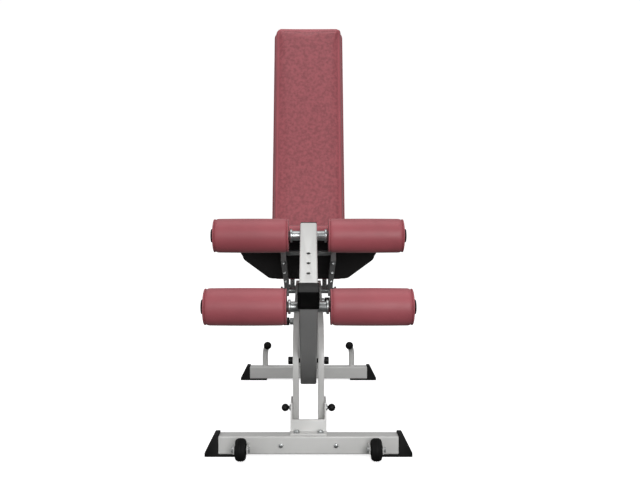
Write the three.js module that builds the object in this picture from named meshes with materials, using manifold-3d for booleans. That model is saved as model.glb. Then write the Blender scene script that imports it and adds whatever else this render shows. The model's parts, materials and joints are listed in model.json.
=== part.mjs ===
// Adjustable weight bench with a tilting back, a tilting seat and a folding leg hold-down.
// Millimetres, +Z up, front of the bench towards -Y. The origin ends on the floor under the middle.
import * as THREE from "three";
import { mergeVertices } from "three/addons/utils/BufferGeometryUtils.js";
import Module from "manifold-3d";

const wasm = await Module();
wasm.setup();

// ---- driving dimensions ----
const JOIN_GAP = 0.3; // between pieces that touch
const RUN_GAP = 0.6; // radial play of anything that turns or slides

const FOOT = { tube: 45, wall: 2.5, halfLength: 225, capLength: 35, strip: 5.7, stripStart: 160, boltX: 69 };
const FRONT_FOOT_Y = -427.5;
const REAR_FOOT_Y = 517.5;
const footTop = FOOT.strip + JOIN_GAP + FOOT.tube;
const footMid = footTop - FOOT.tube / 2;

// Everything above the feet is placed by its height over their top, so it rises with them.
const overFeet = ([y, height]) => [y, footTop + height];

const RAIL = { thick: 15, deep: 50, gap: 50 };
const RAIL_COURSE = [
  [-352, 21], [-382, 109], [-396, 184], [-366, 241], [-280, 267],
  [-120, 295], [30, 327], [140, 329], [260, 295], [370, 184], [462, 27],
].map(overFeet);
const railOuter = RAIL.gap / 2 + RAIL.thick;

const BRACKET = { thick: 5, floor: 5, wall: 34, beyondPin: 24, frontTop: 76, rearTop: 69, clear: 0.5 };
const PIN = { radius: 4, ball: 10, along: 0.35 };
const BOLT = { radius: 6, along: 0.1, rearCap: 13, legCap: 10, head: 12 };

const WHEEL = { radius: 28, width: 26, x: 166, axle: 4, floorGap: 1, clear: 8 };
const PEG = { radius: 10.5, height: 72, x: 167, lean: 8, tip: 15 };

const SEAT = { pivot: overFeet([30, 329]), tilt: 18, start: 10, length: 390, rearWidth: 262, frontWidth: 390, pad: 50 };
const BACK = { pivot: overFeet([140, 329]), tilt: 75.5, start: 20, length: 905, width: 245, pad: 50 };
const BOARD = { thick: 12, inset: 8, above: 34 };
const AXLE = { radius: 9, cap: 13, capThick: 6, seatPlay: 6, backPlay: 1 };
const SPINE = { clear: 6, thick: 14, deep: 28, length: 690 };
const BEARER = { clear: 2, thick: 14, deep: 28, shortOfPad: 70 };
const spineX = railOuter + SPINE.clear;
const bearerX = spineX + SPINE.thick + BEARER.clear;
const SEAT_ARC = { radius: 316, pinReach: 310, wide: 22, thick: 8, step: 6, holes: 4 };
const SECTOR = { axleClear: 4, rim: 15, thick: 8, step: 15, holes: 6, x: 10, pinAngle: 25.842 };
// The sector swings past the seat axle, so its rim stops short of it.
const sectorRadius = BACK.pivot[0] - SEAT.pivot[0] - AXLE.radius - SECTOR.axleClear;
const sectorHole = sectorRadius - SECTOR.rim;

const LEG = {
  tube: 42, wall: 2.5, pivot: overFeet([-394, 180.5]), low: overFeet([-330, 127]), roller: overFeet([-590, 338]),
};
const KNEE = { roller: overFeet([-427, 502]), over: 27, hole: 5, holes: 3, firstHole: 40, pitch: 39 };
const kneeTravel = KNEE.pitch * (KNEE.holes - 1);
const SLEEVE = { wall: 3, length: 34, beyond: 44 };
const ROLLER = { radius: 44.5, length: 193, stand: 27, bore: 12.5, round: 7, cap: 17 };
const PLUG = 4; // thickness of a tube's end plug

// ---- colours and finishes ----
const finish = (color, roughness, metalness) => new THREE.MeshStandardMaterial({ color, roughness, metalness });
const WHITE_PAINT = finish(0xdcdcda, 0.42, 0.1);
const GREY_PAINT = finish(0x6c6c6c, 0.45, 0.2);
const BLACK_PLASTIC = finish(0x101010, 0.55, 0);
const STEEL = finish(0x8d8f8e, 0.3, 0.9);
const RED_VINYL = finish(0x9e5058, 0.5, 0);
const PLYWOOD = finish(0x1b1314, 0.8, 0);

// ---- geometry helpers ----
function solid(geometry) {
  const bare = new THREE.BufferGeometry().setAttribute("position", geometry.getAttribute("position"));
  bare.setIndex(geometry.index);
  const merged = mergeVertices(bare, 1e-3);
  return new wasm.Manifold(new wasm.Mesh({
    numProp: 3,
    vertProperties: merged.attributes.position.array,
    triVerts: new Uint32Array(merged.index.array),
  }));
}

function geometryOf(made) {
  const mesh = made.getMesh();
  return new THREE.BufferGeometry()
    .setAttribute("position", new THREE.BufferAttribute(mesh.vertProperties, 3))
    .setIndex(new THREE.BufferAttribute(mesh.triVerts, 1));
}

const join = (...pieces) => geometryOf(pieces.map(solid).reduce((whole, piece) => whole.add(piece)));
const cut = (body, ...tools) => geometryOf(tools.map(solid).reduce((left, tool) => left.subtract(tool), solid(body)));

// An outline drawn in Y and Z, pushed along X from x0.
function sideways(shape, thick, x0, curveSegments = 6) {
  const made = new THREE.ExtrudeGeometry(shape, { depth: thick, bevelEnabled: false, curveSegments });
  return made.applyMatrix4(new THREE.Matrix4().set(0, 0, 1, x0, 1, 0, 0, 0, 0, 1, 0, 0, 0, 0, 0, 1));
}

// An outline drawn in X and Z, pushed along Y and centred on y.
function lengthways(shape, thick, y) {
  const made = new THREE.ExtrudeGeometry(shape, { depth: thick, bevelEnabled: false, curveSegments: 6 });
  return made.applyMatrix4(new THREE.Matrix4().set(1, 0, 0, 0, 0, 0, -1, y + thick / 2, 0, 1, 0, 0, 0, 0, 0, 1));
}

// An outline drawn in X and Y, raised from z0.
const upwards = (shape, thick, z0) =>
  new THREE.ExtrudeGeometry(shape, { depth: thick, bevelEnabled: false, curveSegments: 6 }).translate(0, 0, z0);

const box = (x, y, z, cx, cy, cz) => new THREE.BoxGeometry(x, y, z).translate(cx, cy, cz);

// A round bar along X between two stations.
const rod = (radius, x0, x1, y, z, sides = 20) =>
  new THREE.CylinderGeometry(radius, radius, Math.abs(x1 - x0), sides)
    .rotateZ(Math.PI / 2).translate((x0 + x1) / 2, y, z);

function roundedRect(target, w, h, r, cx = 0, cy = 0) {
  const [x, y] = [w / 2 - r, h / 2 - r];
  target.moveTo(cx + x, cy - y - r);
  target.absarc(cx + x, cy - y, r, -Math.PI / 2, 0);
  target.absarc(cx + x, cy + y, r, 0, Math.PI / 2);
  target.absarc(cx - x, cy + y, r, Math.PI / 2, Math.PI);
  target.absarc(cx - x, cy - y, r, Math.PI, Math.PI * 1.5);
  return target;
}

// A square tube's section, open inside.
function tubeSection(size, wall, cy = 0, cz = 0) {
  const section = roundedRect(new THREE.Shape(), size, size, 4, cy, cz);
  section.holes.push(roundedRect(new THREE.Path(), size - 2 * wall, size - 2 * wall, 2, cy, cz));
  return section;
}

// A straight square bar in the YZ plane from one point to another, centred on X.
function slantBar(size, [y0, z0], [y1, z1], wall = 0) {
  const length = Math.hypot(y1 - y0, z1 - z0);
  const section = wall ? tubeSection(size, wall) : roundedRect(new THREE.Shape(), size, size, 4);
  return new THREE.ExtrudeGeometry(section, { depth: length, bevelEnabled: false, curveSegments: 3 })
    .rotateX(-Math.atan2(y1 - y0, z1 - z0)).translate(0, y0, z0);
}

const bench = new THREE.Group();
function add(name, geometry, material, group = bench) {
  const mesh = new THREE.Mesh(geometry, material);
  mesh.name = name;
  group.add(mesh);
  return mesh;
}
const SIDES = [["left", -1], ["right", 1]];
const mirrorX = (geometry, side) => (side > 0 ? geometry : geometryOf(solid(geometry).mirror([1, 0, 0])));
const between = (from, to, t) => [from[0] + (to[0] - from[0]) * t, from[1] + (to[1] - from[1]) * t];

// ---- feet ----
function makeFoot(end, y) {
  const tube = sideways(tubeSection(FOOT.tube, FOOT.wall, y, footMid), 2 * FOOT.halfLength, -FOOT.halfLength);
  add(`${end}_foot`, tube, WHITE_PAINT);
  const inner = FOOT.halfLength + JOIN_GAP;
  const outer = FOOT.halfLength + FOOT.capLength;
  const cap = new THREE.Shape();
  cap.moveTo(FOOT.stripStart, 0);
  cap.lineTo(outer, 0);
  cap.lineTo(outer, 10);
  cap.lineTo(inner + 12, footTop + 4);
  cap.lineTo(inner, footTop + 4);
  cap.lineTo(inner, FOOT.strip);
  cap.lineTo(FOOT.stripStart, FOOT.strip);
  for (const [name, side] of SIDES) {
    add(`${end}_foot_cap_${name}`, mirrorX(lengthways(cap, FOOT.tube + 2, y), side), BLACK_PLASTIC);
  }
}

// ---- twin side rails, one arch from the front foot to the rear foot ----
const railCurve = new THREE.CatmullRomCurve3(
  RAIL_COURSE.map(([y, z]) => new THREE.Vector3(y, z, 0)), false, "centripetal");

function railOutline() {
  const steps = 44;
  const edge = (offset) => Array.from({ length: steps + 1 }, (_, i) => {
    const at = railCurve.getPointAt(i / steps);
    const along = railCurve.getTangentAt(i / steps);
    return new THREE.Vector2(at.x - along.y * offset, at.y + along.x * offset);
  });
  return new THREE.Shape([...edge(-RAIL.deep / 2), ...edge(RAIL.deep / 2).reverse()]);
}

const frontPin = between(RAIL_COURSE[0], RAIL_COURSE[1], PIN.along);
const rearBolt = between(RAIL_COURSE.at(-1), RAIL_COURSE.at(-2), BOLT.along);
const seatPinDrop = Math.sqrt(SEAT_ARC.radius ** 2 - SEAT_ARC.pinReach ** 2);
const seatPin = [SEAT.pivot[0] - SEAT_ARC.pinReach, SEAT.pivot[1] - seatPinDrop];
const backPinTurn = THREE.MathUtils.degToRad(SECTOR.pinAngle);
const backPin = [BACK.pivot[0] - sectorHole * Math.cos(backPinTurn), BACK.pivot[1] - sectorHole * Math.sin(backPinTurn)];

function makeRails() {
  const holes = [
    [frontPin, PIN.radius], [rearBolt, BOLT.radius], [LEG.pivot, BOLT.radius], [SEAT.pivot, AXLE.radius], [BACK.pivot, AXLE.radius],
  ];
  for (const [name, side] of SIDES) {
    const x0 = side > 0 ? RAIL.gap / 2 : -railOuter;
    const lock = side > 0 ? [backPin, PIN.radius] : [seatPin, PIN.radius];
    const drills = [...holes, lock].map(([[y, z], r]) => rod(r + RUN_GAP, x0 - 5, x0 + RAIL.thick + 5, y, z));
    add(`side_rail_${name}`, cut(sideways(railOutline(), RAIL.thick, x0), ...drills), WHITE_PAINT);
  }
}

// ---- brackets that join the rails to the feet ----
function makeBracket(end, footY, [holeY, holeZ], radius, top) {
  const toward = end === "front" ? 1 : -1;
  const inside = railOuter + JOIN_GAP + BRACKET.clear;
  const outside = inside + BRACKET.thick;
  const floor = footTop + JOIN_GAP;
  const far = holeY + toward * BRACKET.beyondPin;
  const near = footY - toward * (FOOT.tube / 2 - 6);
  const middle = (near + far) / 2;
  const plate = box(2 * outside, Math.abs(far - near), BRACKET.floor, 0, middle, floor + BRACKET.floor / 2);
  const wallY = footY + toward * 12;
  const wall = box(2 * outside, BRACKET.thick, BRACKET.wall, 0, wallY, floor + BRACKET.wall / 2);
  const ears = SIDES.map(([, side]) => {
    const height = footTop + top - floor;
    const earMiddle = (wallY + far) / 2;
    const earX = side * (inside + BRACKET.thick / 2);
    return box(BRACKET.thick, Math.abs(far - wallY), height, earX, earMiddle, floor + height / 2);
  });
  const drills = [rod(radius + RUN_GAP, -outside - 5, outside + 5, holeY, holeZ)];
  add(`${end}_bracket`, cut(join(plate, wall, ...ears), ...drills), WHITE_PAINT);
  return outside;
}

function makeBallPins(outside) {
  for (const [name, side] of SIDES) {
    const tip = RAIL.gap / 2 + 1;
    const ballX = outside + PIN.ball + 5;
    const stem = rod(PIN.radius, tip, ballX, ...frontPin, 12);
    const ball = new THREE.SphereGeometry(PIN.ball, 16, 12).translate(ballX, ...frontPin);
    add(`front_pin_${name}`, mirrorX(join(stem, ball), side), BLACK_PLASTIC);
    const ring = cut(rod(8, outside + JOIN_GAP, outside + 4, ...frontPin),
      rod(PIN.radius + RUN_GAP, outside - 5, outside + 9, ...frontPin));
    add(`front_pin_bush_${name}`, mirrorX(ring, side), STEEL);
  }
}

// A headed bolt across the bench with a capped nut on the other end.
function makeCrossBolt(name, [y, z], radius, reach, capRadius, material) {
  const shank = rod(radius, -reach - 2, reach + 2, y, z, 16);
  const heads = SIDES.map(([, side]) => rod(capRadius, side * reach, side * (reach + BOLT.head), y, z, 16));
  add(name, join(shank, ...heads), material);
}

// ---- transport wheels on the front foot ----
function makeWheels() {
  const face = FRONT_FOOT_Y - FOOT.tube / 2;
  const y = face - WHEEL.radius - WHEEL.clear;
  const z = WHEEL.radius + WHEEL.floorGap;
  const half = WHEEL.width / 2;
  const profile = [
    [WHEEL.axle + RUN_GAP, -half], [WHEEL.radius - 8, -half], [WHEEL.radius - 2.5, -half + 3], [WHEEL.radius, 0],
    [WHEEL.radius - 2.5, half - 3], [WHEEL.radius - 8, half], [WHEEL.axle + RUN_GAP, half],
    [WHEEL.axle + RUN_GAP, -half],
  ].map(([r, h]) => new THREE.Vector2(r, h));
  for (const [name, side] of SIDES) {
    const x = side * WHEEL.x;
    const tyre = new THREE.LatheGeometry(profile, 24).rotateZ(Math.PI / 2).translate(x, y, z);
    add(`transport_wheel_${name}`, tyre, BLACK_PLASTIC);
    const cheekX = half + 3.5;
    const reach = face - JOIN_GAP - y + 9;
    const cheeks = SIDES.map(([, s]) =>
      box(3, reach, 18, x + s * cheekX, y - 9 + reach / 2, z));
    const back = box(2 * cheekX + 3, 3, 18, x, face - JOIN_GAP - 1.5, z);
    const drill = rod(WHEEL.axle + RUN_GAP, x - 40, x + 40, y, z);
    add(`wheel_fork_${name}`, cut(join(back, ...cheeks), drill), WHITE_PAINT);
    const pin = rod(WHEEL.axle, x - cheekX - 4, x + cheekX + 4, y, z, 16);
    const head = [-1, 1].map((s) => rod(7, x + s * (cheekX + 2.2), x + s * (cheekX + 6), y, z, 6));
    add(`wheel_axle_${name}`, join(pin, ...head), STEEL);
  }
  for (const [name, side] of SIDES) {
    const at = [side * FOOT.boltX, face - JOIN_GAP];
    const head = new THREE.CylinderGeometry(6, 6, 4, 6).translate(at[0], at[1] - 2, footMid);
    add(`foot_bolt_${name}`, head, STEEL);
  }
}

// ---- upright pegs on the rear foot ----
function makePegs() {
  const section = new THREE.Shape().absarc(0, 0, PEG.radius, 0, 2 * Math.PI);
  for (const [name, side] of SIDES) {
    const base = new THREE.Vector3(side * PEG.x, REAR_FOOT_Y, footTop + JOIN_GAP);
    const rise = base.clone().add(new THREE.Vector3(0, 0, PEG.height * 0.65));
    const turn = base.clone().add(new THREE.Vector3(-side * PEG.lean * 0.3, -4, PEG.height * 0.9));
    const end = base.clone().add(new THREE.Vector3(-side * PEG.lean, -22, PEG.height + 6));
    const course = new THREE.CatmullRomCurve3([base, rise, turn, end]);
    const peg = new THREE.ExtrudeGeometry(section, { steps: 12, curveSegments: 8, extrudePath: course });
    const floor = box(60, 60, 20, base.x, base.y, base.z - 10);
    add(`rear_peg_${name}`, cut(peg, floor), WHITE_PAINT);
    const along = course.getTangentAt(1);
    const centre = end.clone().addScaledVector(along, PEG.tip * 0.55 + JOIN_GAP);
    const ball = new THREE.SphereGeometry(PEG.tip, 16, 12).translate(centre.x, centre.y, centre.z);
    const grown = new THREE.ExtrudeGeometry(new THREE.Shape().absarc(0, 0, PEG.radius + JOIN_GAP, 0, 2 * Math.PI),
      { steps: 12, curveSegments: 8, extrudePath: new THREE.CatmullRomCurve3([base, rise, turn,
        end.clone().addScaledVector(along, JOIN_GAP)]) });
    add(`rear_peg_tip_${name}`, cut(ball, grown), BLACK_PLASTIC);
  }
}

// ---- tilting groups: seat and back share the way their pad, board and bearers stack ----
function tiltingGroup([y, z], degrees) {
  const group = new THREE.Group();
  group.position.set(0, y, z);
  group.rotation.x = THREE.MathUtils.degToRad(degrees);
  bench.add(group);
  return group;
}

// Plan outline with round corners, through corner points given in order.
function softCorners(points, radius) {
  const shape = new THREE.Shape();
  points.forEach(([x, y], i) => {
    const [px, py] = points.at(i - 1);
    const [nx, ny] = points[(i + 1) % points.length];
    const inLength = Math.hypot(px - x, py - y);
    const outLength = Math.hypot(nx - x, ny - y);
    const start = [x + (px - x) * radius / inLength, y + (py - y) * radius / inLength];
    const stop = [x + (nx - x) * radius / outLength, y + (ny - y) * radius / outLength];
    if (i) shape.lineTo(...start);
    else shape.moveTo(...start);
    shape.quadraticCurveTo(x, y, ...stop);
  });
  return shape;
}

function seatOutline(inset) {
  const rear = SEAT.rearWidth / 2 - inset;
  const front = SEAT.frontWidth / 2 - inset;
  const [y0, y1] = [-SEAT.start - inset, -SEAT.start - SEAT.length + inset];
  const shoulder = y0 + (y1 - y0) * 0.58;
  return softCorners([[rear, y0], [-rear, y0], [-front, shoulder], [-front, y1], [front, y1], [front, shoulder]],
    26 - inset);
}

function backOutline(inset) {
  const half = BACK.width / 2 - inset;
  const [y0, y1] = [BACK.start + inset, BACK.start + BACK.length - inset];
  return softCorners([[-half, y0], [half, y0], [half, y1], [-half, y1]], 26 - inset);
}

const padBase = BOARD.above + BOARD.thick + JOIN_GAP;

function makeSeat() {
  const group = tiltingGroup(SEAT.pivot, -SEAT.tilt);
  add("seat_board", upwards(seatOutline(BOARD.inset), BOARD.thick, BOARD.above), PLYWOOD, group);
  add("seat_pad", upwards(seatOutline(0), SEAT.pad, padBase), RED_VINYL, group);
  const length = SEAT.length - BEARER.shortOfPad;
  const top = BOARD.above - JOIN_GAP;
  for (const [name, side] of SIDES) {
    const plate = new THREE.Shape();
    plate.moveTo(14, top - 8);
    plate.absarc(0, -4, 14, 0, -Math.PI, true);
    plate.lineTo(-60, top - BEARER.deep);
    plate.lineTo(-length, top - BEARER.deep);
    plate.lineTo(-length - 14, top);
    plate.lineTo(6, top);
    const x0 = side > 0 ? bearerX : -bearerX - BEARER.thick;
    const drill = rod(AXLE.radius + RUN_GAP, x0 - 5, x0 + BEARER.thick + 5, 0, 0);
    add(`seat_bearer_${name}`, cut(sideways(plate, BEARER.thick, x0), drill), GREY_PAINT, group);
  }
  makeSeatArc(group, top);
}

// Curved flat bar centred on the seat axle, with a row of holes for the lock pin.
function makeSeatArc(group, top) {
  const turn = THREE.MathUtils.degToRad(SEAT.tilt);
  const pinAngle = Math.atan2(seatPin[1] - SEAT.pivot[1], SEAT.pivot[0] - seatPin[0]) - turn;
  const high = Math.asin((top - 4) / SEAT_ARC.radius);
  const low = pinAngle - THREE.MathUtils.degToRad(9);
  const [inner, outer] = [SEAT_ARC.radius - SEAT_ARC.wide / 2, SEAT_ARC.radius + SEAT_ARC.wide / 2];
  const bar = new THREE.Shape();
  bar.absarc(0, 0, outer, Math.PI - high, Math.PI - low, false);
  bar.absarc(0, 0, inner, Math.PI - low, Math.PI - high, true);
  const half = SEAT_ARC.thick / 2;
  const strap = sideways(bar, SEAT_ARC.thick, -half, 12);
  const reach = bearerX - JOIN_GAP;
  const tie = box(2 * reach, 34, 6, 0, -SEAT_ARC.radius * Math.cos(high), top - 3);
  const drills = Array.from({ length: SEAT_ARC.holes }, (_, i) => {
    const angle = pinAngle + THREE.MathUtils.degToRad(SEAT_ARC.step * i);
    return rod(PIN.radius + RUN_GAP, -20, 20,
      -SEAT_ARC.radius * Math.cos(angle), SEAT_ARC.radius * Math.sin(angle), 12);
  });
  add("seat_arc", cut(join(strap, tie), ...drills), STEEL, group);
}

function makeBack() {
  const group = tiltingGroup(BACK.pivot, BACK.tilt);
  add("back_board", upwards(backOutline(BOARD.inset), BOARD.thick, BOARD.above), PLYWOOD, group);
  add("back_pad", upwards(backOutline(0), BACK.pad, padBase), RED_VINYL, group);
  const top = BOARD.above - JOIN_GAP;
  for (const [name, side] of SIDES) {
    const bar = new THREE.Shape();
    bar.moveTo(-14, 0);
    bar.absarc(0, 0, 15, Math.PI, Math.PI * 1.6);
    bar.lineTo(50, top - SPINE.deep);
    bar.lineTo(SPINE.length, top - SPINE.deep);
    bar.lineTo(SPINE.length, top);
    bar.lineTo(8, top);
    const x0 = side > 0 ? spineX : -spineX - SPINE.thick;
    const drill = rod(AXLE.radius + RUN_GAP, x0 - 5, x0 + SPINE.thick + 5, 0, 0);
    add(`back_spine_${name}`, cut(sideways(bar, SPINE.thick, x0), drill), GREY_PAINT, group);
  }
  makeSector(group, top);
}

// Fan plate between the rails: its holes meet the lock pin at each back angle.
function makeSector(group, top) {
  const turn = THREE.MathUtils.degToRad(BACK.tilt);
  const pinAngle = Math.atan2(backPin[1] - BACK.pivot[1], backPin[0] - BACK.pivot[0]) - turn;
  const first = pinAngle - THREE.MathUtils.degToRad(12);
  const last = pinAngle + THREE.MathUtils.degToRad(12 + SECTOR.step * (SECTOR.holes - 1));
  const plate = new THREE.Shape();
  plate.moveTo(0, 0);
  plate.absarc(0, 0, sectorRadius, first, last, false);
  plate.lineTo(0, 0);
  const hub = rod(22, SECTOR.x, SECTOR.x + SECTOR.thick, 0, 0);
  const stem = box(SECTOR.thick, 46, top + 8, SECTOR.x + SECTOR.thick / 2, 32, top - (top + 8) / 2);
  const tie = box(2 * (spineX - JOIN_GAP), 40, 6, 0, 45, top - 3);
  const drills = Array.from({ length: SECTOR.holes }, (_, i) => {
    const angle = pinAngle + THREE.MathUtils.degToRad(SECTOR.step * i);
    return rod(PIN.radius + RUN_GAP, 0, 40, sectorHole * Math.cos(angle), sectorHole * Math.sin(angle), 12);
  });
  const shaft = rod(AXLE.radius + RUN_GAP, -60, 60, 0, 0);
  const fan = sideways(plate, SECTOR.thick, SECTOR.x, 20);
  add("back_sector", cut(join(fan, hub, stem, tie), shaft, ...drills), STEEL, group);
}

// ---- spring lock pins for seat (left rail) and back (right rail) ----
function makeLockPin(name, side, [y, z], tip) {
  const seat = railOuter + JOIN_GAP;
  const knobStart = seat + 12;
  const stem = rod(PIN.radius, tip, knobStart + 2, y, z, 12);
  const knob = rod(11, knobStart, knobStart + 16, y, z, 16);
  add(`${name}_lock_pin`, mirrorX(join(stem, knob), side), BLACK_PLASTIC);
  const barrel = cut(rod(9, seat, seat + 11, y, z, 16), rod(PIN.radius + RUN_GAP, seat - 5, seat + 20, y, z, 12));
  add(`${name}_lock_barrel`, mirrorX(barrel, side), STEEL);
}

function makeAxles() {
  for (const [name, [y, z], reach] of [["seat", SEAT.pivot, bearerX + BEARER.thick + AXLE.seatPlay],
    ["back", BACK.pivot, spineX + SPINE.thick + AXLE.backPlay]]) {
    const shank = rod(AXLE.radius, -reach - 2, reach + 2, y, z);
    const ends = SIDES.map(([, side]) => rod(AXLE.cap, side * reach, side * (reach + AXLE.capThick), y, z));
    add(`${name}_axle`, join(shank, ...ends), STEEL);
  }
}

// ---- leg hold-down: post, sleeve, sliding carrier and two pairs of rollers ----
const postRise = Math.hypot(LEG.roller[0] - LEG.low[0], LEG.roller[1] - LEG.low[1]);
const postWay = [(LEG.roller[0] - LEG.low[0]) / postRise, (LEG.roller[1] - LEG.low[1]) / postRise];
const sleeveMid = [LEG.roller[0] + postWay[0] * SLEEVE.beyond, LEG.roller[1] + postWay[1] * SLEEVE.beyond];
const kneeReach = Math.hypot(KNEE.roller[0] - sleeveMid[0], KNEE.roller[1] - sleeveMid[1]);
const kneeWay = [(KNEE.roller[0] - sleeveMid[0]) / kneeReach, (KNEE.roller[1] - sleeveMid[1]) / kneeReach];
const alongKnee = (distance) => [sleeveMid[0] + kneeWay[0] * distance, sleeveMid[1] + kneeWay[1] * distance];

function makeLegPost() {
  const sleeveSize = LEG.tube + 2 * (RUN_GAP + SLEEVE.wall);
  const half = SLEEVE.length / 2;
  const bore = slantBar(LEG.tube + 2 * RUN_GAP, alongKnee(-half - 10), alongKnee(half + 10));
  const sleeve = cut(slantBar(sleeveSize, alongKnee(-half), alongKnee(half)), bore);
  add("carrier_sleeve", sleeve, BLACK_PLASTIC);
  const clear = slantBar(sleeveSize + 2 * JOIN_GAP, alongKnee(-half - kneeTravel), alongKnee(half + kneeTravel));
  const post = slantBar(LEG.tube, LEG.low, sleeveMid, LEG.wall);
  const drills = [
    rod(BOLT.radius + RUN_GAP, -40, 40, ...LEG.pivot), rod(ROLLER.bore + JOIN_GAP, -40, 40, ...LEG.roller),
  ];
  add("leg_post", cut(post, clear, ...drills), GREY_PAINT);
  const plugStart = [LEG.low[0] - postWay[0] * (PLUG + JOIN_GAP), LEG.low[1] - postWay[1] * (PLUG + JOIN_GAP)];
  const plugEnd = [LEG.low[0] - postWay[0] * JOIN_GAP, LEG.low[1] - postWay[1] * JOIN_GAP];
  add("leg_post_plug", slantBar(LEG.tube, plugStart, plugEnd), BLACK_PLASTIC);
}

function makeCarrier() {
  const low = -SLEEVE.length / 2 + PLUG + JOIN_GAP + 0.7; // the tail's plug stays inside the sleeve at rest
  const high = kneeReach + KNEE.over;
  const tube = slantBar(LEG.tube, alongKnee(low), alongKnee(high), LEG.wall);
  const across = Array.from({ length: KNEE.holes }, (_, i) => {
    const [y, z] = alongKnee(SLEEVE.length / 2 + KNEE.firstHole + KNEE.pitch * i);
    return new THREE.CylinderGeometry(KNEE.hole, KNEE.hole, LEG.tube * 2, 12)
      .rotateX(Math.PI - Math.atan2(kneeWay[0], kneeWay[1])).translate(0, y, z);
  });
  const shaft = rod(ROLLER.bore + JOIN_GAP, -40, 40, ...KNEE.roller);
  add("knee_carrier", cut(tube, ...across, shaft), WHITE_PAINT);
  add("knee_carrier_plug", slantBar(LEG.tube, alongKnee(high + JOIN_GAP), alongKnee(high + JOIN_GAP + PLUG)),
    BLACK_PLASTIC);
  add("knee_carrier_tail_plug", slantBar(LEG.tube, alongKnee(low - JOIN_GAP - PLUG), alongKnee(low - JOIN_GAP)),
    BLACK_PLASTIC);
}

function makeRollers(level, [y, z]) {
  const { radius, length, stand, bore, round } = ROLLER;
  const start = LEG.tube / 2 + stand;
  const end = start + length;
  const collars = SIDES.map(([, side]) => rod(17, side * (start - 7), side * (start - 1), y, z));
  add(`${level}_roller_shaft`, join(rod(bore, -end - 2, end + 2, y, z), ...collars), STEEL);
  const inner = bore + RUN_GAP;
  const profile = [[inner, 0], [radius - round, 0]];
  for (let i = 1; i <= 3; i += 1) {
    const a = (i / 3) * (Math.PI / 2);
    profile.push([radius - round + round * Math.sin(a), round - round * Math.cos(a)]);
  }
  profile.push(...profile.slice(1).reverse().map(([r, h]) => [r, length - h]), [inner, length], [inner, 0]);
  for (const [name, side] of SIDES) {
    const foam = new THREE.LatheGeometry(profile.map(([r, h]) => new THREE.Vector2(r, h)), 28)
      .rotateZ(-Math.PI / 2).translate(start, y, z);
    add(`${level}_roller_${name}`, mirrorX(foam, side), RED_VINYL);
    const cap = rod(ROLLER.cap, end + 2 + JOIN_GAP, end + 5 + JOIN_GAP, y, z);
    add(`${level}_roller_cap_${name}`, mirrorX(cap, side), BLACK_PLASTIC);
  }
}

makeFoot("front", FRONT_FOOT_Y);
makeFoot("rear", REAR_FOOT_Y);
makeRails();
const earOutside = makeBracket("front", FRONT_FOOT_Y, frontPin, PIN.radius, BRACKET.frontTop);
makeBracket("rear", REAR_FOOT_Y, rearBolt, BOLT.radius, BRACKET.rearTop);
makeBallPins(earOutside);
makeCrossBolt("rear_bolt", rearBolt, BOLT.radius, earOutside + JOIN_GAP, BOLT.rearCap, BLACK_PLASTIC);
makeCrossBolt("leg_pivot_bolt", LEG.pivot, BOLT.radius, railOuter + JOIN_GAP, BOLT.legCap, BLACK_PLASTIC);
makeWheels();
makePegs();
makeSeat();
makeBack();
makeAxles();
makeLockPin("seat", -1, seatPin, SEAT_ARC.thick / 2 + RUN_GAP);
makeLockPin("back", 1, backPin, SECTOR.x + SECTOR.thick + RUN_GAP);
makeLegPost();
makeCarrier();
makeRollers("knee", KNEE.roller);
makeRollers("ankle", LEG.roller);

// The floor's middle becomes the origin.
bench.updateMatrixWorld(true);
const extent = new THREE.Box3().setFromObject(bench, true);
bench.position.y = -(extent.min.y + extent.max.y) / 2;

export default bench;
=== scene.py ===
"""Adjustable weight bench: upholstery, foam rollers, painted metalwork, fasteners and a plain studio."""
import json
import math

import bmesh
import bpy
from mathutils import Matrix, Vector
from mathutils.bvhtree import BVHTree


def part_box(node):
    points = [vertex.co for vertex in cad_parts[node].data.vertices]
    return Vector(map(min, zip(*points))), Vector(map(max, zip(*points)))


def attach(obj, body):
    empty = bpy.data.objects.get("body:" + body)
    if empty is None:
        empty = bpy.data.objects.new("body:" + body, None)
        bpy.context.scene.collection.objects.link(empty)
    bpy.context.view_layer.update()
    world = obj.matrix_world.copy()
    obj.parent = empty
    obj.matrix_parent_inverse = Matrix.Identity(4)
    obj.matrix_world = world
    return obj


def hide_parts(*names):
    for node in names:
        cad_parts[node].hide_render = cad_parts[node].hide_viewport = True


bl_info = {
    "name": "Weight Bench Maker",
    "version": (1, 0, 0),
    "blender": (4, 5, 0),
    "location": "View3D > Sidebar > Bench",
    "description": "Upholsters and finishes an adjustable weight bench around its frame",
    "category": "Object",
}

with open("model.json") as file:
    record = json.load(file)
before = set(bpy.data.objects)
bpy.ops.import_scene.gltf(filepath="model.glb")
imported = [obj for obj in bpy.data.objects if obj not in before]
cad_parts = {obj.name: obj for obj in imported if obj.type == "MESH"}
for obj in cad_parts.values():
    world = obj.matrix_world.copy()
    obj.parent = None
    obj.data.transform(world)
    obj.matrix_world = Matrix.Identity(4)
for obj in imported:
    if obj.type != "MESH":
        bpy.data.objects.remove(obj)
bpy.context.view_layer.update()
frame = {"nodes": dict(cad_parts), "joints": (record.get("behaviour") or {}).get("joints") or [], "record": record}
BODY_OF = {node: body for body, nodes in frame["record"]["behaviour"]["bodies"].items() for node in nodes}
SLOT_OF = {row["node"]: row["material_slot"] for row in frame["record"]["subparts"]}
JOINT = {joint["name"]: joint for joint in frame["joints"]}
PAD_SIDE_ROOM = 0.003  # left for the padding to swell into, at the sides and on top
PAD_TOP_ROOM = 0.006
ROLLER_ROOM = 0.0016
WASHER_THICK = 0.0024
FOOT_BOLT_X = 0.069
BRACKET_BOLT_X = 0.03
BRACKET_BOLT_RISE = 0.0515  # over a foot tube's underside
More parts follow.
